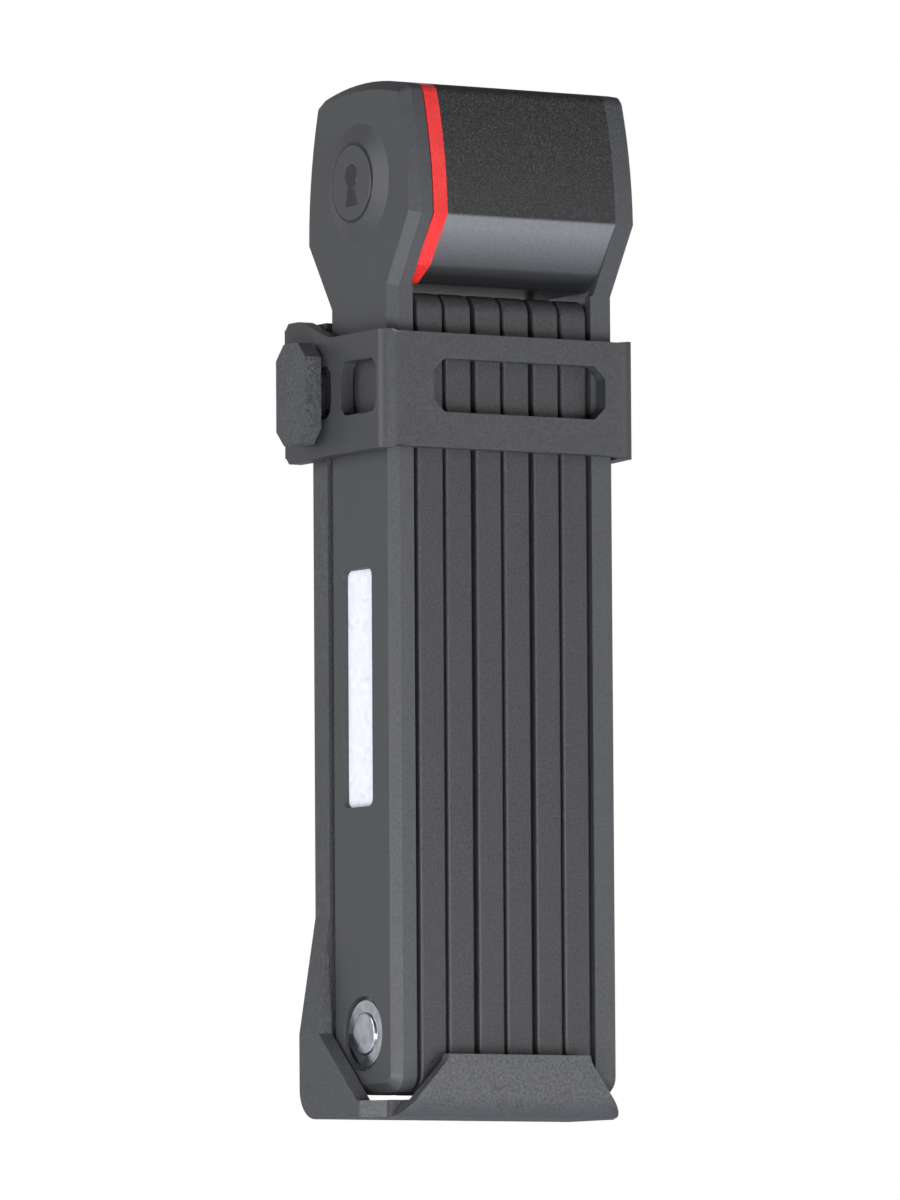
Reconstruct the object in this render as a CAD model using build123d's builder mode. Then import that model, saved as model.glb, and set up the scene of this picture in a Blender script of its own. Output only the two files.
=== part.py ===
"""Folding bike lock of eight hinged plates, standing in its frame holder.

Millimetres.  +Z is up and -Y is the lock's front.  The origin is the middle of the
two cage-bolt holes, on the holder's rear face.  The plates are stacked along X, and
every hinge axis is parallel to X.
"""
import os

from build123d import *

# ---- driving dimensions ----
MID_Y = -18.1            # centre plane of the stack, in front of the mounting face
FOOT_Z = -80.0           # underside of the plates
PLATE_W = 24.5           # plate width, front to back
PLATE_H = 155.8          # inner plate height
CORNER_R = 3.6           # corners of a plate's outline
PIVOT_LOW = 11.6         # height of the bottom hinges above the plates' underside
PIVOT_HIGH = 144.2       # height of the top hinges
ARM_T = 4.9              # thickness of the two outer arms
LINK_T = 5.8             # thickness of an inner plate with its sleeve
LINK_CORE_T = 4.6        # its steel core
LINK_CORE_W = 21.0
GAP_LOW = 1.0            # gap between two plates that share a bottom hinge
GAP_HIGH = 0.6           # gap between two plates that share a top hinge
LINKS = range(2, 8)      # inner plates, counted from the left arm

SHANK_R = 4.0            # hinge rivet
RIVET_HEAD_R = 6.5
RIVET_HEAD_T = 1.15
HEAD_SEAT = 0.15         # a rivet head lies this much under the plate's face
RUNNING = 0.06           # radial clearance between a rivet and its plates
HEAD_ROOM = 0.3          # radial room around a rivet head
FIT = 0.05               # gap between a cover and the metal inside it
CORE_R = 2.6             # corners of a steel core
SLEEVE_ROUND = 0.5       # rounding of a sleeve's face edges
WASHER_BEYOND = 0.3      # how far a slip washer reaches under each plate's face

WAIST_H = 156.6                      # where the head starts to widen
CREASE_H, CREASE_W = 170.0, 21.0     # head outline: height and half width
SHOULDER_H, SHOULDER_W = 195.6, 16.8
TOP_H = 197.6
SHOULDER_R = 2.6                     # rounding where the flanks meet the top
UNDER_H, UNDER_W = 157.6, 9.5        # flat underside of the lock body
CHIN_H, CHIN_W = 160.6, 14.2
CHIN_R = 2.0
SHELL_T = 2.0                        # wall of the lock body's shell
HEAD_BULGE = 0.9                     # outward bow of the head's upper flanks
AXIS_H = 177.8                       # lock cylinder and bolt axis

BOSS_R, BOSS_TOP_R, BOSS_HEIGHT = 11.7, 7.9, 1.35   # shallow cone on the left cap
REFLECTOR_SLOT = (11.2, 46.5)
REFLECTOR_MIDDLE = (1.4, 79.0)
REFLECTOR_DEPTH = 1.5
EDGE_CHAMFER = 1.8       # chamfer along the front edge of the left arm's face
FAR_CHAMFER = 0.5        # chamfer around the right arm's face
KEY_OPENING_R = 5.2      # opening through the right arm for the key
SCREW_R = 1.5
WIDE = 25.0              # cutting tools reach this far past the centre plane
ARM_SKIN = 1.7           # cover skin over an arm's steel plate
ARM_WALL = 1.9           # cover wall around its edge
CAP_INNER_X = 20.85      # inner faces of the two end caps
RING_T = 3.1
SEAM = 0.25              # running gap between the left cap and the ring

STRAP_T = 2.8
STRAP_LOW, STRAP_HIGH = 124.7, 147.8
STRAP_HOLES = (132.0, 142.5)         # heights of the tail's two holes
TAIL_HOLES = ((-12.2, 0.1), (5.2, 17.6))   # their extents, front to back
TAB_END = 23.0           # rear end of the tail's tab
TAB_HIGH = 4.2           # the tab stands this far above the strap
EYE_R = 3.7              # anchor eye around the post
POST_R = 1.7
BAND_SLOT = (131.2, 141.8)           # heights of the front slot
BAND_SLOT_X = (-17.7, 21.5)
HOOK_H = 137.1                       # middle of the hook that holds the tail
STRAP_GAP = 0.7          # between the strap and the plates

STACK_HALF = 25.2
PLATE_REAR = 18.1        # holder plate, measured back from the stack's centre plane
PLATE_FACE = 12.6
HOLDER_TOP = 151.5
FLARE_HALF = 29.0        # half width of the holder's flared foot
FLARE_LOW, FLARE_HIGH = 12, 35       # heights where the flare starts and ends
FLOOR_TOP, FLOOR_LOW = -1.5, -4.7
LIP_TOP = 7.3            # top of the tray's front lip
LIP_BACK, LIP_FRONT = -15.1, -17.4   # how far in front of centre the lip's top reaches
CHEEK_TOP = 60.0         # the cheeks' inner faces end here
REACH = 40.0             # cutting tools reach this far out to each side
POCKET_HALF = 20.0       # shallow pocket down the back plate's face
POCKET_DEPTH = 16.2
HOOK_OUT = -33.2         # outer face of the hook's head
HOOK_T = 3.6
HOOK_BACK = 13.0         # middle of the hook, behind the stack's centre plane
CAGE_MIDDLE = 80.0       # height of the point midway between the cage holes
HOLE_SPACING = 64.0
CAGE_HOLE_R = 2.75

POST = Vector(30.2, 14.6)            # strap anchor post, from the stack's centre

os.makedirs("parts", exist_ok=True)


def side(x):
    """A plane across the stack: its x runs back, its y up, its normal to the right."""
    return Plane(origin=(x, MID_Y, FOOT_Z), x_dir=(0, 1, 0), z_dir=(1, 0, 0))


def level(height):
    """A level plane, with its origin on the stack's centre line."""
    return Plane(origin=(0, MID_Y, FOOT_Z + height))


def front(depth):
    """An upright plane facing back, at a distance behind the stack's centre."""
    return Plane(origin=(0, MID_Y + depth, FOOT_Z), x_dir=(-1, 0, 0), z_dir=(0, 1, 0))


def save(piece, label):
    piece.part.label = label
    export_step(piece.part, f"parts/{label}.step")


def disc(centre, low, high, radius, mode=Mode.ADD):
    """A round slice or hole along X from low to high, centred at (back, up)."""
    with BuildSketch(side(low), mode=Mode.PRIVATE) as profile:
        with Locations(centre):
            Circle(radius)
    extrude(profile.sketch, amount=high - low, mode=mode)


def bar(low, high, depths, heights, mode=Mode.ADD, corner=0.0):
    """A box along X between low and high, with rounded edges along X if asked."""
    with BuildSketch(side(low), mode=Mode.PRIVATE) as profile:
        with Locations(((depths[0] + depths[1]) / 2, (heights[0] + heights[1]) / 2)):
            if corner:
                RectangleRounded(depths[1] - depths[0], heights[1] - heights[0], corner)
            else:
                Rectangle(depths[1] - depths[0], heights[1] - heights[0])
    extrude(profile.sketch, amount=high - low, mode=mode)


def stack_faces():
    """Left and right face of each of the eight plates, counted from the left arm."""
    faces = {}
    x = -STACK_HALF
    for number in range(1, 9):
        thick = ARM_T if number in (1, 8) else LINK_T
        faces[number] = (x, x + thick)
        x += thick + (GAP_LOW if number % 2 else GAP_HIGH)
    return faces


FACES = stack_faces()
LOW_PIN = (0, PIVOT_LOW)
HIGH_PIN = (0, PIVOT_HIGH)
BOLT_AXIS = (0, AXIS_H)


def pin_of(number):
    """The hinge between plate number and the next one to the right."""
    return LOW_PIN if number % 2 else HIGH_PIN


# ---- outlines ----
def arm_outline(inset=0.0):
    """An outer arm with its head, as seen along X, shrunk by inset."""
    half = PLATE_W / 2 - inset
    crease = CREASE_W - inset
    shoulder = SHOULDER_W - inset
    top = SHOULDER_H - inset
    middle = ((crease + shoulder) / 2 + HEAD_BULGE, (CREASE_H + top) / 2)
    with BuildLine() as outline:
        Line((half, inset), (half, WAIST_H))
        Line((half, WAIST_H), (crease, CREASE_H))
        ThreePointArc((crease, CREASE_H), middle, (shoulder, top))
        ThreePointArc((shoulder, top), (0, TOP_H - inset), (-shoulder, top))
        ThreePointArc((-shoulder, top), (-middle[0], middle[1]), (-crease, CREASE_H))
        Line((-crease, CREASE_H), (-half, WAIST_H))
        Line((-half, WAIST_H), (-half, inset))
        Line((-half, inset), (half, inset))
    make_face(outline.edges())
    foot = [v for v in vertices() if v.Y < 20]
    fillet(foot, CORNER_R)
    tops = [v for v in vertices() if SHOULDER_H - 5 < v.Y < SHOULDER_H + 0.1]
    fillet(tops, SHOULDER_R)


def body_outline(inset=0.0):
    """The lock body between the caps: the head outline with a rounded underside."""
    crease = CREASE_W - inset
    shoulder = SHOULDER_W - inset
    top = SHOULDER_H - inset
    low = UNDER_H + inset
    side_low = CHIN_H + inset
    chin = CHIN_W - inset
    middle = ((crease + shoulder) / 2 + HEAD_BULGE, (CREASE_H + top) / 2)
    with BuildLine() as outline:
        Line((UNDER_W, low), (chin, side_low))
        Line((chin, side_low), (crease, CREASE_H))
        ThreePointArc((crease, CREASE_H), middle, (shoulder, top))
        ThreePointArc((shoulder, top), (0, TOP_H - inset), (-shoulder, top))
        ThreePointArc((-shoulder, top), (-middle[0], middle[1]), (-crease, CREASE_H))
        Line((-crease, CREASE_H), (-chin, side_low))
        Line((-chin, side_low), (-UNDER_W, low))
        Line((-UNDER_W, low), (UNDER_W, low))
    make_face(outline.edges())
    tops = [v for v in vertices() if SHOULDER_H - 5 < v.Y < SHOULDER_H + 0.1]
    fillet(tops, SHOULDER_R)
    under = [v for v in vertices() if v.Y < CREASE_H - 5]
    fillet(under, CHIN_R)


# ---- plates ----
def link_core(number):
    """The hardened steel bar inside an inner plate."""
    left, right = FACES[number]
    skin = (LINK_T - LINK_CORE_T) / 2
    low, high = left + skin, right - skin
    edge = (PLATE_W - LINK_CORE_W) / 2
    with BuildPart() as core:
        bar(low, high, (-LINK_CORE_W / 2, LINK_CORE_W / 2), (edge, PLATE_H - edge), corner=CORE_R)
        disc(pin_of(number - 1), low, high, SHANK_R + RUNNING, Mode.SUBTRACT)
        disc(pin_of(number), low, high, SHANK_R + RUNNING, Mode.SUBTRACT)
        seat = RIVET_HEAD_T + HEAD_SEAT - skin
        disc(pin_of(number - 1), high - seat, high, RIVET_HEAD_R + HEAD_ROOM, Mode.SUBTRACT)
        disc(pin_of(number), low, low + seat, RIVET_HEAD_R + HEAD_ROOM, Mode.SUBTRACT)
    save(core, f"link_{number}_core")


def link_sleeve(number):
    """The plastic sleeve around an inner plate."""
    left, right = FACES[number]
    skin = (LINK_T - LINK_CORE_T) / 2
    edge = (PLATE_W - LINK_CORE_W) / 2
    with BuildPart() as sleeve:
        bar(left, right, (-PLATE_W / 2, PLATE_W / 2), (0, PLATE_H), corner=CORNER_R)
        around = sleeve.faces().filter_by(Axis.X).edges()
        fillet(around, SLEEVE_ROUND)
        bar(
            left + skin, right - skin,
            (-LINK_CORE_W / 2, LINK_CORE_W / 2), (edge, PLATE_H - edge),
            Mode.SUBTRACT, CORE_R,
        )
        for pin in (pin_of(number - 1), pin_of(number)):
            disc(pin, left - 1, right + 1, RIVET_HEAD_R + HEAD_ROOM, Mode.SUBTRACT)
    save(sleeve, f"link_{number}_sleeve")


def hinge(number):
    """The rivet and the slip washer between plate number and the next."""
    left, right = FACES[number][0], FACES[number + 1][1]
    pin = pin_of(number)
    seat_left = ARM_SKIN if number == 1 else HEAD_SEAT
    seat_right = ARM_SKIN if number == 7 else HEAD_SEAT
    low, high = left + seat_left, right - seat_right
    if number == 1:
        low -= RIVET_HEAD_T
    if number == 7:
        high += RIVET_HEAD_T
    with BuildPart() as rivet:
        disc(pin, low, high, SHANK_R)
        disc(pin, low, low + RIVET_HEAD_T, RIVET_HEAD_R)
        disc(pin, high - RIVET_HEAD_T, high, RIVET_HEAD_R)
        if number == 1:
            with BuildSketch(side(low)):
                with Locations(pin):
                    Circle(4.2)
            extrude(amount=-0.45)
            fillet(rivet.faces().sort_by(Axis.X)[0].edges(), 0.4)
    save(rivet, f"rivet_{number}")
    face, next_face = FACES[number][1], FACES[number + 1][0]
    with BuildPart() as washer:
        disc(pin, face - WASHER_BEYOND, next_face + WASHER_BEYOND, RIVET_HEAD_R)
        disc(pin, face - 1, next_face + 1, SHANK_R + 0.15, Mode.SUBTRACT)
        if number in (1, 7):
            low = face - WASHER_BEYOND if number == 1 else next_face
            disc(pin, low, low + WASHER_BEYOND, RIVET_HEAD_R + 1, Mode.SUBTRACT)
    save(washer, f"washer_{number}")


# ---- outer arms ----
def arm(name, sign):
    """An outer arm: the cover with its head, the steel plate inside, the reflector."""
    outer = sign * STACK_HALF
    skin = sign * (STACK_HALF - ARM_SKIN)
    inner = sign * (STACK_HALF - ARM_T)
    cap = sign * CAP_INNER_X
    with BuildPart() as cover:
        with BuildSketch(side(outer)):
            arm_outline()
        extrude(amount=inner - outer)
        face_edges = cover.faces().sort_by(Axis.X)[0 if sign < 0 else -1].edges()
        if sign < 0:
            forward = [e for e in face_edges if e.center().Y < MID_Y - PLATE_W / 4]
            chamfer([e for e in forward if e.center().Z > FOOT_Z + 2], EDGE_CHAMFER)
        else:
            chamfer(face_edges, FAR_CHAMFER)
        bar(min(cap, inner), max(cap, inner), (-WIDE, WIDE), (WAIST_H + 0.2, TOP_H + 1), Mode.SUBTRACT)
        with BuildSketch(side(skin)):
            arm_outline(ARM_WALL)
        extrude(amount=inner - skin, mode=Mode.SUBTRACT)
        with BuildSketch(side(outer)):
            with Locations(REFLECTOR_MIDDLE):
                RectangleRounded(*REFLECTOR_SLOT, 1.6)
        extrude(amount=-sign * REFLECTOR_DEPTH, mode=Mode.SUBTRACT)
        disc(LOW_PIN, min(outer, skin) - 1, max(outer, skin) + 1, 7.3, Mode.SUBTRACT)
        if sign < 0:
            with BuildSketch(side(outer)):
                with Locations(BOLT_AXIS):
                    Circle(BOSS_R)
            with BuildSketch(side(outer - BOSS_HEIGHT)):
                with Locations(BOLT_AXIS):
                    Circle(BOSS_TOP_R)
            loft()
        else:
            disc(BOLT_AXIS, skin - 1, outer + 1, KEY_OPENING_R, Mode.SUBTRACT)
    save(cover, f"{name}_arm_cover")
    with BuildPart() as plate:
        with BuildSketch(side(skin)):
            arm_outline(ARM_WALL + FIT)
        extrude(amount=inner - skin)
        bar(min(cap, inner), max(cap, inner), (-WIDE, WIDE), (WAIST_H - 2, TOP_H + 1), Mode.SUBTRACT)
        disc(LOW_PIN, min(skin, inner), max(skin, inner), SHANK_R + RUNNING, Mode.SUBTRACT)
        disc(BOLT_AXIS, min(skin, cap), max(skin, cap), KEY_OPENING_R, Mode.SUBTRACT)
        if sign > 0:
            for hole in SCREWS:
                disc(hole, skin - 3, skin + 1, SCREW_R + 0.1, Mode.SUBTRACT)
    save(plate, f"{name}_arm_plate")
    with BuildPart() as strip:
        with BuildSketch(side(outer - sign * REFLECTOR_DEPTH)):
            with Locations(REFLECTOR_MIDDLE):
                RectangleRounded(REFLECTOR_SLOT[0] - 0.2, REFLECTOR_SLOT[1] - 0.2, 1.5)
        extrude(amount=sign * 0.3)
    save(strip, f"{name}_reflector")


# ---- lock body ----
BODY_LEFT = -CAP_INNER_X + SEAM + RING_T
BODY_RIGHT = CAP_INNER_X
SCREWS = ((-10.0, 183.0), (10.0, 183.0))
CORE_LEFT, CORE_RIGHT = BODY_LEFT + SHELL_T, BODY_RIGHT - 0.1
HOUSING = (-3.0, BODY_RIGHT - 0.3)
HOUSING_R, PLUG_R, DISC_R = 9.0, 7.0, 5.6
BOLT_R = 4.9
DRIVER_R = 2.6           # shaft between the plug and the bolt
KEYWAY_HALF = 1.0
DISC_T, DISC_PITCH = 1.3, 1.7
COVER_T = 1.5            # dust cover


def lock_body():
    """The plastic shell, the metal core inside it and the ring on its mating face."""
    with BuildPart() as shell:
        with BuildSketch(side(BODY_LEFT)):
            body_outline()
        extrude(amount=BODY_RIGHT - BODY_LEFT)
        with BuildSketch(side(BODY_LEFT + SHELL_T)):
            body_outline(SHELL_T)
        extrude(amount=BODY_RIGHT - BODY_LEFT, mode=Mode.SUBTRACT)
        disc(BOLT_AXIS, BODY_LEFT - 1, BODY_LEFT + 3, BOLT_R + 0.4, Mode.SUBTRACT)
    save(shell, "body_shell")
    with BuildPart() as core:
        with BuildSketch(side(CORE_LEFT)):
            body_outline(SHELL_T + FIT)
        extrude(amount=CORE_RIGHT - CORE_LEFT)
        disc(BOLT_AXIS, HOUSING[0], CORE_RIGHT + 1, HOUSING_R + 0.02, Mode.SUBTRACT)
        disc(BOLT_AXIS, CORE_LEFT - 1, HOUSING[0] + 1, BOLT_R + 0.08, Mode.SUBTRACT)
        for hole in SCREWS:
            disc(hole, CORE_RIGHT - 11, CORE_RIGHT + 1, SCREW_R + 0.12, Mode.SUBTRACT)
    save(core, "body_core")
    with BuildPart() as ring:
        with BuildSketch(side(BODY_LEFT - RING_T)):
            body_outline()
        extrude(amount=RING_T)
        disc(BOLT_AXIS, BODY_LEFT - RING_T - 1, BODY_LEFT + 1, BOLT_R + 0.4, Mode.SUBTRACT)
    save(ring, "accent_ring")
    with BuildPart() as screws:
        for hole in SCREWS:
            disc(hole, CORE_RIGHT - 10, CORE_RIGHT + 2.2, SCREW_R)
    save(screws, "arm_screws")


def cylinder():
    """The disc-detainer cylinder, its turning plug and the locking bolt it drives."""
    low, high = HOUSING
    with BuildPart() as housing:
        disc(BOLT_AXIS, low, high, HOUSING_R)
        disc(BOLT_AXIS, low + 7, high + 1, PLUG_R + 0.06, Mode.SUBTRACT)
        disc(BOLT_AXIS, low - 1, low + 8, 3.1, Mode.SUBTRACT)
        bar(low + 8, high - 3, (-0.8, 0.8), (AXIS_H + 6.5, AXIS_H + 8.2), Mode.SUBTRACT)
    save(housing, "cylinder_housing")
    with BuildPart() as plug:
        disc(BOLT_AXIS, low + 7.2, high - 0.2, PLUG_R)
        disc(BOLT_AXIS, low + 9, high - 2.0, DISC_R + 0.05, Mode.SUBTRACT)
        bar(high - 2.1, high, (-KEYWAY_HALF, KEYWAY_HALF), (AXIS_H - 4, AXIS_H + 4), Mode.SUBTRACT)
        disc(BOLT_AXIS, high - 2.1, high, 2.4, Mode.SUBTRACT)
    save(plug, "key_plug")
    with BuildPart() as discs:
        for place in range(7):
            x = low + 9.1 + place * DISC_PITCH
            disc(BOLT_AXIS, x, x + DISC_T, DISC_R)
            bar(x - 0.1, x + 1.4, (-KEYWAY_HALF, KEYWAY_HALF), (AXIS_H - 3, AXIS_H + 3), Mode.SUBTRACT)
    save(discs, "detainer_discs")
    with BuildPart() as sidebar:
        bar(low + 8.5, high - 3.5, (-0.65, 0.65), (AXIS_H + 7.15, AXIS_H + 8.05))
    save(sidebar, "sidebar")
    with BuildPart() as driver:
        disc(BOLT_AXIS, low - 7.5, low + 7.2, DRIVER_R)
        disc(BOLT_AXIS, low - 9.0, low - 7.5, 3.4)
    save(driver, "bolt_driver")
    with BuildPart() as bolt:
        disc(BOLT_AXIS, BODY_LEFT - RING_T + 0.4, low - 0.6, BOLT_R)
        disc(BOLT_AXIS, low - 13.6, low, 3.8, Mode.SUBTRACT)
    save(bolt, "locking_bolt")
    with BuildPart() as retainer:
        disc(BOLT_AXIS, high, high + 0.2, HOUSING_R - 0.4)
        disc(BOLT_AXIS, high - 1, high + 1, 5.4, Mode.SUBTRACT)
    save(retainer, "cylinder_retainer")


def dust_cover():
    """The turning cover over the keyway and the pin it turns on."""
    outer = STACK_HALF
    pivot = (0, AXIS_H - 10.2)
    with BuildPart() as cover:
        with BuildSketch(side(outer + 0.3)):
            with Locations(BOLT_AXIS):
                Circle(6.6)
            with Locations(pivot):
                Circle(3.6)
            with Locations((0, AXIS_H - 6)):
                Rectangle(7.0, 8.0)
        extrude(amount=COVER_T)
        disc(pivot, outer, outer + 3, 1.56, Mode.SUBTRACT)
    save(cover, "dust_cover")
    with BuildPart() as pin:
        disc(pivot, outer, outer + 2.0, 1.5)
        disc(pivot, outer + 2.0, outer + 2.6, 2.6)
    save(pin, "dust_cover_pin")


# ---- holder ----
def holder():
    """The one-piece holder: back plate, flared cheeks, tray, lip, hook and post."""
    cheek_in = STACK_HALF + 0.7
    with BuildPart() as body:
        with BuildSketch(side(-FLARE_HALF)):
            with BuildLine():
                Polyline(
                    (PLATE_REAR, FLOOR_LOW), (PLATE_REAR, HOLDER_TOP),
                    (PLATE_FACE, HOLDER_TOP), (PLATE_FACE, FLARE_HIGH), (10.7, FLARE_LOW),
                    (-3.9, FLOOR_TOP), (-13.0, FLOOR_TOP), (LIP_BACK, LIP_TOP),
                    (LIP_FRONT, LIP_TOP), (-15.2, FLOOR_LOW), (PLATE_REAR, FLOOR_LOW),
                )
            make_face()
            low_corners = vertices().group_by(Axis.Y)[0].sort_by(Axis.X)
            fillet(low_corners[-1], 6.0)
            fillet(vertices().group_by(Axis.Y)[0].sort_by(Axis.X)[0], 5.0)
        extrude(amount=2 * FLARE_HALF)
        with BuildSketch(front(-20)):
            with BuildLine():
                Polyline(
                    (-STACK_HALF, HOLDER_TOP + 1), (-STACK_HALF, FLARE_HIGH),
                    (-FLARE_HALF, FLARE_LOW), (-FLARE_HALF, FLOOR_LOW - 1),
                    (FLARE_HALF, FLOOR_LOW - 1), (FLARE_HALF, FLARE_LOW),
                    (STACK_HALF, FLARE_HIGH), (STACK_HALF, HOLDER_TOP + 1),
                    (-STACK_HALF, HOLDER_TOP + 1),
                )
            make_face()
        extrude(amount=50, mode=Mode.INTERSECT)
        bar(-cheek_in, cheek_in, (-12, PLATE_FACE), (FLOOR_TOP, CHEEK_TOP), Mode.SUBTRACT)
        for sign in (-1, 1):
            with BuildSketch(front(-20)):
                with BuildLine():
                    Polyline(
                        (sign * 15.6, 9), (sign * 16.4, 6), (sign * STACK_HALF, FLOOR_LOW),
                        (sign * STACK_HALF, -6), (sign * REACH, -6), (sign * REACH, 9),
                        (sign * 15.6, 9),
                    )
                make_face()
                fillet([v for v in vertices() if abs(v.Y - 6) < 0.1], 3.0)
            extrude(amount=9.5, mode=Mode.SUBTRACT)
            with BuildSketch(level(-10)):
                with BuildLine():
                    Polyline(
                        (sign * STACK_HALF, -WIDE), (sign * STACK_HALF, -9),
                        (sign * 30, -3.9), (sign * REACH, -3.9),
                        (sign * REACH, -WIDE), (sign * STACK_HALF, -WIDE),
                    )
                make_face()
            extrude(amount=25, mode=Mode.SUBTRACT)
        pocket = (PLATE_FACE - 1, POCKET_DEPTH)
        bar(-POCKET_HALF, POCKET_HALF, pocket, (FLOOR_TOP, HOLDER_TOP + 1), Mode.SUBTRACT)
        bar(1 - POCKET_HALF, POCKET_HALF - 1, (10, 20), (FLOOR_TOP, 5.5), Mode.SUBTRACT)
        bar(-31, -24, (HOOK_BACK, HOOK_BACK + 4), (HOOK_H - 4.2, HOOK_H + 4.2))
        with BuildSketch(side(HOOK_OUT)):
            with Locations((HOOK_BACK, HOOK_H)):
                Rectangle(11.4, 20.0)
            chamfer(vertices(), 3.0)
        extrude(amount=HOOK_T)
        for height in (STRAP_LOW - 3.4, STRAP_HIGH + 0.4):
            bar(24, POST.X + 1.9, (PLATE_FACE + 0.1, PLATE_REAR - 1.4), (height, height + 3.0))
        with BuildSketch(level(STRAP_LOW - 1)):
            with Locations((POST.X, POST.Y)):
                Circle(POST_R)
        extrude(amount=STRAP_HIGH - STRAP_LOW + 2)
        with BuildSketch(front(PLATE_FACE - 2)):
            for offset in (-HOLE_SPACING / 2, HOLE_SPACING / 2):
                with Locations((0, CAGE_MIDDLE + offset)):
                    Circle(CAGE_HOLE_R)
        extrude(amount=10, mode=Mode.SUBTRACT)
    save(body, "holder")


# ---- strap ----
def strap():
    """The rubber strap: the front band with its anchor eye, and the tail with its tab."""
    inside = STACK_HALF + STRAP_GAP
    outside = inside + STRAP_T
    near = -PLATE_W / 2 - STRAP_GAP
    height = STRAP_HIGH - STRAP_LOW
    split = -inside + 2.5
    with BuildPart() as band:
        with BuildSketch(level(STRAP_LOW)):
            with Locations(((split + outside) / 2, near - STRAP_T / 2)):
                Rectangle(outside - split, STRAP_T)
            with Locations(((inside + outside) / 2, (near - STRAP_T + POST.Y - 3) / 2)):
                Rectangle(STRAP_T, POST.Y - 3 - near + STRAP_T)
            with Locations((POST.X, POST.Y)):
                Circle(EYE_R)
            with Locations((POST.X, POST.Y)):
                Circle(POST_R + 0.3, mode=Mode.SUBTRACT)
        extrude(amount=height)
        with BuildSketch(front(near - STRAP_T - 1)):
            with Locations((-sum(BAND_SLOT_X) / 2, sum(BAND_SLOT) / 2)):
                Rectangle(BAND_SLOT_X[1] - BAND_SLOT_X[0], BAND_SLOT[1] - BAND_SLOT[0])
            chamfer(vertices(), 2.5)
        extrude(amount=STRAP_T + 2, mode=Mode.SUBTRACT)
    save(band, "strap_band")
    with BuildPart() as tail:
        with BuildSketch(side(-outside)):
            with BuildLine():
                Polyline(
                    (near - STRAP_T, STRAP_LOW), (10, STRAP_LOW), (12, STRAP_LOW - 0.5),
                    (TAB_END, STRAP_LOW - 0.5), (TAB_END, STRAP_HIGH + TAB_HIGH),
                    (11, STRAP_HIGH + TAB_HIGH),
                    (9, STRAP_HIGH), (near - STRAP_T, STRAP_HIGH),
                    (near - STRAP_T, STRAP_LOW),
                )
            make_face()
        extrude(amount=STRAP_T)
        for depths in TAIL_HOLES:
            bar(-outside - 1, -inside + 1, depths, STRAP_HOLES, Mode.SUBTRACT)
        with BuildSketch(level(STRAP_LOW)):
            with Locations(((-inside + split - 0.05) / 2, near - STRAP_T / 2)):
                Rectangle(split - 0.05 + inside, STRAP_T)
        extrude(amount=height)
    save(tail, "strap_tail")


for link in LINKS:
    link_core(link)
    link_sleeve(link)
for left_plate in range(1, 8):
    hinge(left_plate)
arm("left", -1)
arm("right", 1)
lock_body()
cylinder()
dust_cover()
holder()
strap()
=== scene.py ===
"""Looks for the folding bike lock: materials, rubber strap, badge, light and camera."""
import math

import bmesh
import bpy
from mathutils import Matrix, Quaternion, Vector


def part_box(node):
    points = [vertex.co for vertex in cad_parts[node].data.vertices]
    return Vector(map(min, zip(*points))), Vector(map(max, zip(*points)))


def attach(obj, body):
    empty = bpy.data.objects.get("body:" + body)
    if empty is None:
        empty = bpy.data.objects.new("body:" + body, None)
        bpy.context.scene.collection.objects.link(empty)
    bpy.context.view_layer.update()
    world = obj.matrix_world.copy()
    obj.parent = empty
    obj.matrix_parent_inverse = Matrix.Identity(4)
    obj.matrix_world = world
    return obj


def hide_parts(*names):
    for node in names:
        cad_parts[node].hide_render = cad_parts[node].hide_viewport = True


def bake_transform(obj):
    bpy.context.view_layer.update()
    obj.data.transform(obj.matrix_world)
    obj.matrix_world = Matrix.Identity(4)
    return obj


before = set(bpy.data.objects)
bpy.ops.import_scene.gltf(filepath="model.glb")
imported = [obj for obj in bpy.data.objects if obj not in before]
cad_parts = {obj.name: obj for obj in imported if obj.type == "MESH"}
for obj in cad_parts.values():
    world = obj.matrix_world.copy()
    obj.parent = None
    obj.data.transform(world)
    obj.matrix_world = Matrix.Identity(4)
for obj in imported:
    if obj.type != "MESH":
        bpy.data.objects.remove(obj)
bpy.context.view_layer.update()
MM = 0.001


# ---- materials ----
def cool(grey):
    """A grey with the faint blue cast of dyed plastic."""
    return grey * 0.97, grey, grey * 1.09


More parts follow.
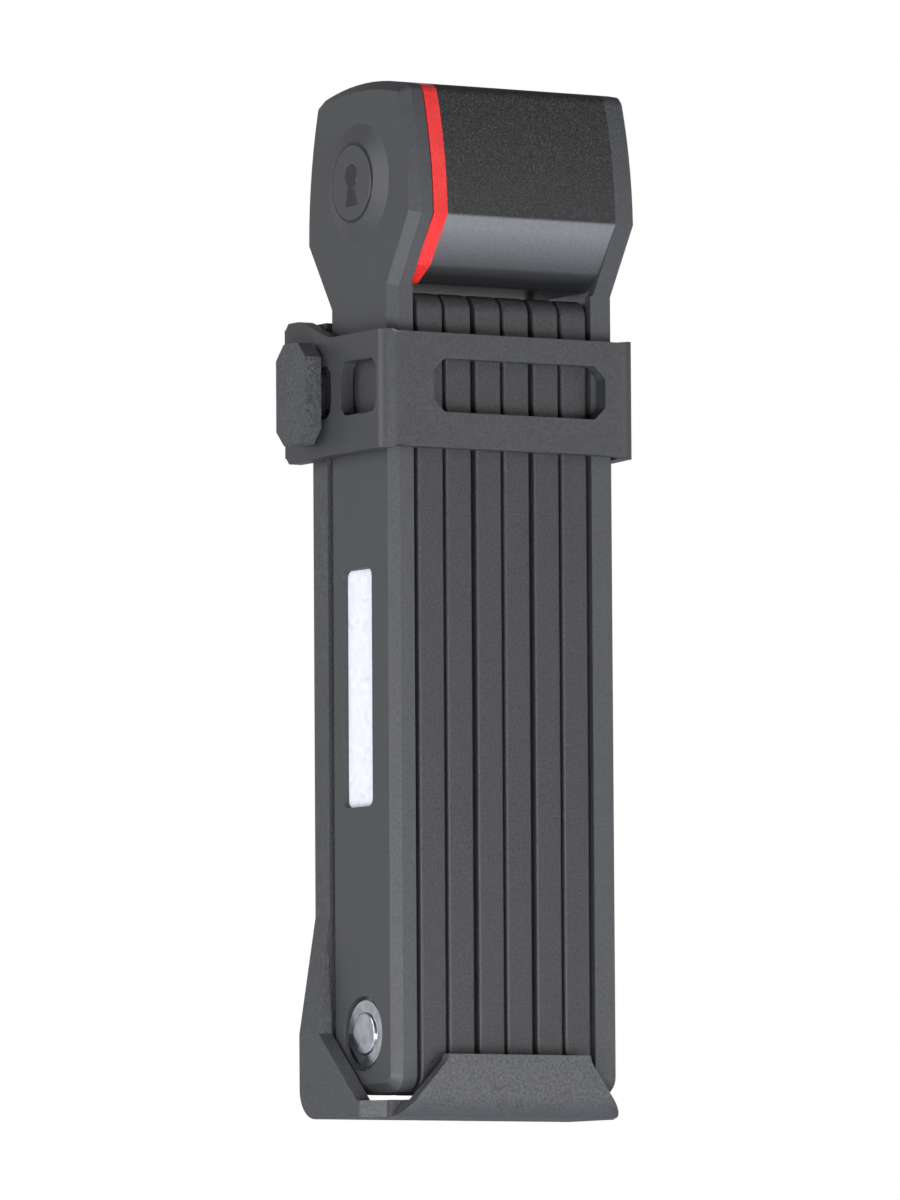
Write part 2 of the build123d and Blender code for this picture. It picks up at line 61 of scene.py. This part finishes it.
class Nodes:
    """A Principled material whose colour, roughness and bump come from noise."""

    def __init__(self, name):
        self.material = bpy.data.materials.new(name)
        self.material.use_nodes = True
        self.tree = self.material.node_tree
        self.shader = self.tree.nodes["Principled BSDF"]
        self.coords = self.tree.nodes.new("ShaderNodeTexCoord").outputs["Object"]

    def new(self, kind, **settings):
        node = self.tree.nodes.new(kind)
        for key, value in settings.items():
            setattr(node, key, value)
        return node

    def link(self, start, end):
        self.tree.links.new(start, end)

    def noise(self, scale, detail=3.0):
        node = self.new("ShaderNodeTexNoise")
        node.inputs["Scale"].default_value = scale
        node.inputs["Detail"].default_value = detail
        self.link(self.coords, node.inputs["Vector"])
        return node.outputs["Fac"]

    def cells(self, scale):
        node = self.new("ShaderNodeTexVoronoi")
        node.inputs["Scale"].default_value = scale
        self.link(self.coords, node.inputs["Vector"])
        return node.outputs["Distance"]

    def between(self, factor, low, high, start=0.35, end=0.65):
        """A colour ramp from low to high, each a grey level or a colour."""
        ramp = self.new("ShaderNodeValToRGB")
        for stop, value, place in zip(ramp.color_ramp.elements, (low, high), (start, end)):
            stop.position = place
            stop.color = (*(cool(value) if isinstance(value, float) else value), 1)
        self.link(factor, ramp.inputs["Fac"])
        return ramp.outputs["Color"]

    def above(self, height, soft=0.0003):
        """1 above a height in metres and 0 below it."""
        split = self.new("ShaderNodeSeparateXYZ")
        self.link(self.coords, split.inputs["Vector"])
        steps = self.new("ShaderNodeMapRange")
        steps.inputs["From Min"].default_value = height - soft
        steps.inputs["From Max"].default_value = height + soft
        self.link(split.outputs["Z"], steps.inputs["Value"])
        return steps.outputs["Result"]

    def mix(self, factor, first, second):
        node = self.new("ShaderNodeMix", data_type="RGBA")
        self.link(factor, node.inputs["Factor"])
        self.link(first, node.inputs["A"])
        self.link(second, node.inputs["B"])
        return node.outputs["Result"]

    def bump(self, height, strength, distance=0.0001):
        node = self.new("ShaderNodeBump")
        node.inputs["Strength"].default_value = strength
        node.inputs["Distance"].default_value = distance
        self.link(height, node.inputs["Height"])
        self.link(node.outputs["Normal"], self.shader.inputs["Normal"])

    def done(self, colour, roughness, metallic=0.0):
        self.link(colour, self.shader.inputs["Base Color"])
        self.link(roughness, self.shader.inputs["Roughness"])
        self.shader.inputs["Metallic"].default_value = metallic
        return self.material


def moulded(name, dark, light, grain, rough=(0.42, 0.52), depth=0.35):
    """Moulded plastic with a fine sparkle of grain in colour, sheen and relief."""
    m = Nodes(name)
    fine = m.noise(grain, 2.0)
    m.bump(fine, depth)
    m.shader.inputs["Specular IOR Level"].default_value = 0.4
    return m.done(m.between(fine, dark, light), m.between(fine, rough[0], rough[1]))


def metal(name, dark, light, rough=(0.16, 0.3), scale=260.0):
    m = Nodes(name)
    fine = m.noise(scale)
    m.bump(fine, 0.06)
    return m.done(m.between(fine, dark, light), m.between(fine, rough[0], rough[1]), 1.0)


def body_material():
    """Coarse black grain above the head's crease and smooth satin below it, the satin with a painted
    highlight just under the crease and painted shade towards the chin.
    """
    m = Nodes("body_two_finishes")
    upper = m.above(CREASE)
    grain = m.noise(2600.0, 2.0)
    speck = m.between(grain, 0.003, 0.028, 0.42, 0.74)
    # painted light and shade: the satin is light just under the crease and fades to near black from
    # about 11 mm below it, a painted shadow under the head
    satin_painted_light_and_shade = m.mix(m.above(CREASE - 6.5 * MM, 4.5 * MM), m.between(grain, 0.006, 0.012),
                  m.between(grain, 0.1, 0.13))
    rough_up = m.between(grain, 0.55, 0.75)
    rough_low = m.between(grain, 0.33, 0.37)
    m.bump(m.mix(upper, m.noise(60.0), grain), 0.5, 0.00012)
    return m.done(m.mix(upper, satin_painted_light_and_shade, speck), m.mix(upper, rough_low, rough_up))


def reflector_material():
    """White retroreflective film with its small cells."""
    m = Nodes("reflective_film")
    cell = m.cells(520.0)
    m.bump(cell, 0.25)
    return m.done(m.between(cell, 0.68, 0.6, 0.1, 0.9), m.between(m.noise(300.0), 0.25, 0.4))


def red_material():
    m = Nodes("red_ring_plastic")
    tone = m.between(m.noise(80.0), (0.47, 0.016, 0.016), (0.54, 0.026, 0.025))
    return m.done(tone, m.between(m.noise(500.0), 0.22, 0.32))


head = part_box("body_shell")
CREASE_SHARE = 0.31      # how far up the lock body its crease stands
CREASE = head[0][2] + (head[1][2] - head[0][2]) * CREASE_SHARE

ARM = moulded("arm_satin_plastic", 0.032, 0.044, 2200.0, (0.4, 0.5), 0.3)
SLEEVE = moulded("sleeve_fine_grain", 0.015, 0.032, 2500.0, (0.42, 0.6), 0.6)
HOLDER = moulded("holder_glass_filled_nylon", 0.03, 0.058, 2000.0, (0.4, 0.6), 0.7)
RUBBER = moulded("strap_satin_rubber", 0.026, 0.037, 2200.0, (0.34, 0.48), 0.25)
TRIM = moulded("smooth_trim_plastic", 0.007, 0.012, 1800.0, (0.35, 0.45), 0.15)
NYLON = moulded("washer_natural_nylon", 0.5, 0.6, 700.0)
CHROME = metal("rivet_bright_plating", 0.42, 0.6, (0.1, 0.2), 420.0)
STEEL = metal("hardened_steel", 0.4, 0.52, (0.3, 0.45))
BRASS = metal("cylinder_brass", (0.62, 0.45, 0.2), (0.72, 0.54, 0.28), (0.25, 0.4))
ZINC = metal("die_cast_zinc", 0.3, 0.4, (0.45, 0.6))
FILM = reflector_material()
RED = red_material()
BODY = body_material()

BY_NODE = {
    "holder": HOLDER, "body_shell": BODY, "accent_ring": RED, "body_core": ZINC,
    "cylinder_housing": BRASS, "key_plug": BRASS, "detainer_discs": BRASS,
    "dust_cover": TRIM,
}
BY_ENDING = {
    "_arm_cover": ARM, "_sleeve": SLEEVE, "_reflector": FILM, "_arm_plate": STEEL, "_core": STEEL,
}


def material_of(node):
    if node in BY_NODE:
        return BY_NODE[node]
    if node.startswith("rivet"):
        return CHROME
    if node.startswith("washer"):
        return NYLON
    for ending, material in BY_ENDING.items():
        if node.endswith(ending):
            return material
    return STEEL


def dress(obj, material):
    obj.data.materials.clear()
    obj.data.materials.append(material)


for node_name, node_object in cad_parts.items():
    dress(node_object, material_of(node_name))


def object_from(mesh, name):
    """A scene object that takes over a bmesh."""
    data = bpy.data.meshes.new(name)
    mesh.to_mesh(data)
    mesh.free()
    made = bpy.data.objects.new(name, data)
    bpy.context.scene.collection.objects.link(made)
    return made


# ---- the strap ----
band_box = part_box("strap_band")
tail_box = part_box("strap_tail")
THICK = 2.8 * MM
EYE_R = 3.7 * MM                 # outside of the anchor eye
EYE_MIDDLE_R = 2.6 * MM          # its middle line
HOOK_HOLE = (5.0 * MM, 17.6 * MM)    # the tail's holes, from the centre plane
SIDE_HOLE = (-12.4 * MM, 1.4 * MM)
FRONT_SLOT = (-17.7 * MM, 21.5 * MM)
HOLE_HEIGHTS = (7.3 * MM, 17.8 * MM)     # above the strap's lower edge
HOLE_ROWS = (3, 4, 5)
HOLE_CORNER = 2.4 * MM
TAB_DROP, TAB_RISE = 0.5 * MM, 4.2 * MM
TAB_START, TAB_SLOPE = 8 * MM, 5 * MM
TAB_ROUND = 1.6 * MM
CROWN = 0.35 * MM                # the front band is this much lower in height
BULGE = 1.4 * MM                 # the band stands off the right arm by this
ARC_STEPS, EYE_STEPS = 7, 8
LEFT = tail_box[0][0] + THICK / 2
RIGHT = -LEFT
NEAR = tail_box[0][1] + THICK / 2
STACK_Y = NEAR + 14.35 * MM      # centre plane of the plates
LOW = band_box[0][2]
HIGH = band_box[1][2]
POST_X = band_box[1][0] - EYE_R
POST_Y = band_box[1][1] - EYE_R
CORNER = 2.2 * MM


def strap_path():
    """Middle line of the strap seen from above, with the places of its holes' edges."""
    back = tail_box[1][1]
    left_leg = [back, back - 1.5 * MM, STACK_Y + HOOK_HOLE[1], STACK_Y + 16.4 * MM,
                STACK_Y + 6.2 * MM, STACK_Y + HOOK_HOLE[0], STACK_Y + SIDE_HOLE[1],
                STACK_Y + 0.6 * MM, STACK_Y - 11.2 * MM, NEAR + CORNER]
    points = [(LEFT, y) for y in left_leg]
    for step in range(1, ARC_STEPS):
        turn = math.pi / 2 * step / ARC_STEPS
        points.append((LEFT + CORNER * (1 - math.cos(turn)), NEAR + CORNER * (1 - math.sin(turn))))
    front = [-21.5, -17.7, -15.2, -9, -3, 3, 9, 15, 19.0, 21.5]
    points += [(x * MM, NEAR) for x in front]
    for step in range(ARC_STEPS + 1):
        turn = math.pi / 2 * step / ARC_STEPS
        points.append((RIGHT - CORNER * (1 - math.sin(turn)) + BULGE * math.sin(2 * turn) * 0.3,
                       NEAR + CORNER * (1 - math.cos(turn))))
    for y, out in ((NEAR + 9 * MM, BULGE), (NEAR + 14 * MM, BULGE), (NEAR + 19 * MM, 0.4 * MM)):
        points.append((RIGHT + out, y))
    for step in range(EYE_STEPS + 1):
        turn = -math.pi + (math.pi * 1.5) * step / EYE_STEPS
        points.append((POST_X + EYE_MIDDLE_R * math.cos(turn), POST_Y - EYE_MIDDLE_R * math.sin(turn)))
    return points


def hole_columns(points):
    """Which columns of the path lie in each of the strap's three openings."""
    columns = {}
    for place in range(len(points) - 1):
        x = (points[place][0] + points[place + 1][0]) / 2
        y = (points[place][1] + points[place + 1][1]) / 2
        on_side = abs(x - LEFT) < 0.5 * MM
        if on_side and HOOK_HOLE[0] < y - STACK_Y < HOOK_HOLE[1]:
            columns[place] = "hook"
        elif on_side and SIDE_HOLE[0] < y - STACK_Y < SIDE_HOLE[1] and y > NEAR + CORNER:
            columns[place] = "side"
        elif abs(y - NEAR) < 0.1 * MM and FRONT_SLOT[0] < x < FRONT_SLOT[1]:
            columns[place] = "front"
    return columns


def strap_heights(point, place):
    """Levels of the strap at one place along it, from its lower to its upper edge."""
    along_tab = (point[1] - STACK_Y - TAB_START) / TAB_SLOPE
    reach = max(0.0, min(1.0, along_tab)) if place < 8 else 0.0
    low = LOW - TAB_DROP * reach
    high = HIGH + TAB_RISE * reach
    trim = CROWN if abs(point[1] - NEAR) < 0.1 * MM else 0.0
    if place == 0:
        trim = TAB_ROUND
    hole_low, hole_high = LOW + HOLE_HEIGHTS[0], LOW + HOLE_HEIGHTS[1]
    return [low + trim, low + 1.2 * MM, hole_low - 2.6 * MM, hole_low, hole_low + HOLE_CORNER,
            hole_high - HOLE_CORNER, hole_high, hole_high + 2.2 * MM, high - 1.2 * MM, high - trim]


def make_strap():
    points = strap_path()
    columns = hole_columns(points)
    mesh = bmesh.new()
    grid = []
    for place, point in enumerate(points):
        levels = strap_heights(point, place)
        grid.append([mesh.verts.new((point[0], point[1], z)) for z in levels])
    for place in range(len(points) - 1):
        for row in range(len(grid[0]) - 1):
            quad = (grid[place][row], grid[place + 1][row],
                    grid[place + 1][row + 1], grid[place][row + 1])
            if place not in columns or row not in HOLE_ROWS:
                mesh.faces.new(quad)
                continue
            at_start = place - 1 not in columns
            at_end = place + 1 not in columns
            if row == HOLE_ROWS[1] or not (at_start or at_end):
                continue
            missing = {(3, True): 2, (5, True): 1, (3, False): 3, (5, False): 0}[row, at_start]
            mesh.faces.new([v for corner, v in enumerate(quad) if corner != missing])
    bmesh.ops.recalc_face_normals(mesh, faces=mesh.faces)
    strap = object_from(mesh, "strap_rubber")
    thick = strap.modifiers.new("thickness", "SOLIDIFY")
    thick.thickness = THICK
    thick.offset = 0.0
    thick.use_even_offset = True
    edge = strap.modifiers.new("edges", "BEVEL")
    edge.width = 0.7 * MM
    edge.segments = 3
    edge.limit_method = "ANGLE"
    smooth = strap.modifiers.new("smooth", "SUBSURF")
    smooth.levels = 1
    smooth.render_levels = 1
    baked(strap)
    for polygon in strap.data.polygons:
        polygon.use_smooth = True
    dress(strap, RUBBER)
    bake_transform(strap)
    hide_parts("strap_band", "strap_tail")


def baked(obj):
    """The object with its modifiers applied to its mesh."""
    depsgraph = bpy.context.evaluated_depsgraph_get()
    final = bpy.data.meshes.new_from_object(obj.evaluated_get(depsgraph))
    obj.modifiers.clear()
    obj.data = final


make_strap()


# ---- the badge on the left cap ----
cover_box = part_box("left_arm_cover")
BADGE_X = cover_box[0][0]
BADGE_Y = (cover_box[0][1] + cover_box[1][1]) / 2
BADGE_Z = cover_box[0][2] + 177.8 * MM     # height of the lock's cylinder axis
BADGE_ROOT = 0.2 * MM            # how far each badge piece goes into the one below


def badge_piece(name, outline, depth, material):
    """A thin bevelled plate from a closed outline on the left cap's face."""
    mesh = bmesh.new()
    rim = [mesh.verts.new((BADGE_X - depth, BADGE_Y + y, BADGE_Z + z)) for y, z in outline]
    face = mesh.faces.new(rim)
    body_part = bmesh.ops.extrude_face_region(mesh, geom=[face])
    moved = [g for g in body_part["geom"] if isinstance(g, bmesh.types.BMVert)]
    bmesh.ops.translate(mesh, verts=moved, vec=(depth + BADGE_ROOT, 0, 0))
    bmesh.ops.recalc_face_normals(mesh, faces=mesh.faces)
    piece = object_from(mesh, name)
    edge = piece.modifiers.new("edge", "BEVEL")
    edge.width = depth * 0.45
    edge.segments = 2
    edge.limit_method = "ANGLE"
    baked(piece)
    dress(piece, material)
    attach(piece, "left_arm")


def circle(radius, start=0.0, end=math.tau, steps=48):
    count = steps if end - start >= math.tau else steps + 1
    return [(radius * math.cos(start + (end - start) * i / steps),
             radius * math.sin(start + (end - start) * i / steps)) for i in range(count)]


def keyhole():
    """A plain keyhole: a round eye over a flared foot."""
    eye = [(y, z + 1.3 * MM) for y, z in circle(2.3 * MM, -math.radians(62), math.radians(242), 28)]
    return eye + [(-2.2 * MM, -4.6 * MM), (2.2 * MM, -4.6 * MM)]


badge_piece("badge_rim", circle(7.9 * MM, steps=64), 0.1 * MM, TRIM)
badge_piece("badge_disc", circle(7.4 * MM, steps=64), 0.3 * MM, ARM)
badge_piece("badge_keyhole", keyhole(), 0.45 * MM, TRIM)


# ---- light, floor and camera ----
FLOOR_Z = -0.32
AZIMUTH, ELEVATION = math.radians(-31), math.radians(-4.5)
ROLL = math.radians(-0.35)
DISTANCE = 2.039
LENS = 312


def area(name, place, size, power, target=Vector((0, -0.018, 0.02))):
    light = bpy.data.lights.new(name, "AREA")
    light.shape = "RECTANGLE"
    light.size, light.size_y = size
    light.energy = power
    lamp = bpy.data.objects.new(name, light)
    bpy.context.scene.collection.objects.link(lamp)
    lamp.location = place
    lamp.rotation_euler = (target - Vector(place)).to_track_quat("-Z", "Y").to_euler()


def studio():
    """A white surround that is brightest from below, as over a white table."""
    world = bpy.data.worlds.new("studio")
    bpy.context.scene.world = world
    world.use_nodes = True
    tree = world.node_tree
    background = tree.nodes["Background"]
    seen = tree.nodes.new("ShaderNodeBackground")
    seen.inputs["Color"].default_value = (1, 1, 1, 1)
    seen.inputs["Strength"].default_value = 1.0
    coords = tree.nodes.new("ShaderNodeTexCoord")
    split = tree.nodes.new("ShaderNodeSeparateXYZ")
    span = tree.nodes.new("ShaderNodeMapRange")
    span.inputs["From Min"].default_value = -1.0
    span.inputs["From Max"].default_value = 0.7
    span.inputs["To Min"].default_value = 1.35
    span.inputs["To Max"].default_value = 0.18
    tree.links.new(coords.outputs["Generated"], split.inputs["Vector"])
    tree.links.new(split.outputs["Z"], span.inputs["Value"])
    tree.links.new(span.outputs["Result"], background.inputs["Strength"])
    background.inputs["Color"].default_value = (1, 1, 1, 1)
    path = tree.nodes.new("ShaderNodeLightPath")
    mix = tree.nodes.new("ShaderNodeMixShader")
    tree.links.new(path.outputs["Is Camera Ray"], mix.inputs["Fac"])
    tree.links.new(background.outputs["Background"], mix.inputs[1])
    tree.links.new(seen.outputs["Background"], mix.inputs[2])
    tree.links.new(mix.outputs["Shader"], tree.nodes["World Output"].inputs["Surface"])


def floor():
    mesh = bmesh.new()
    bmesh.ops.create_grid(mesh, x_segments=2, y_segments=2, size=3.0)
    plane = object_from(mesh, "floor")
    plane.location.z = FLOOR_Z
    m = Nodes("pale_floor")
    dress(plane, m.done(m.between(m.noise(3.0), 0.9, 0.92), m.between(m.noise(9.0), 0.6, 0.7)))


def camera():
    """The view from the left front, a little below the middle of the lock."""
    lens = bpy.data.cameras.new("view")
    lens.sensor_fit = "VERTICAL"
    lens.sensor_height = 36
    lens.lens = LENS
    lens.clip_end = 20
    eye = bpy.data.objects.new("view", lens)
    bpy.context.scene.collection.objects.link(eye)
    middle = Vector((0, -0.0181, 0.0170))
    back = Vector((
        math.sin(AZIMUTH) * math.cos(ELEVATION),
        -math.cos(AZIMUTH) * math.cos(ELEVATION),
        math.sin(ELEVATION),
    ))
    across = Vector((math.cos(AZIMUTH), math.sin(AZIMUTH), 0))
    middle -= across * 4.2 * MM
    eye.location = middle + back * DISTANCE
    level_view = (-back).to_track_quat("-Z", "Y")
    eye.rotation_euler = (level_view @ Quaternion((0, 0, 1), ROLL)).to_euler()
    bpy.context.scene.camera = eye


studio()
floor()
area("key_left", (-1.25, 0.3, 0.35), (0.5, 1.2), 8.0)
area("soft_right", (1.2, -1.1, 0.3), (0.5, 1.2), 4.0)
area("table_glow", (-0.25, -0.55, -0.29), (0.9, 0.4), 15.0, Vector((0, -0.03, -0.03)))
camera()
bpy.context.scene.view_settings.view_transform = "Standard"
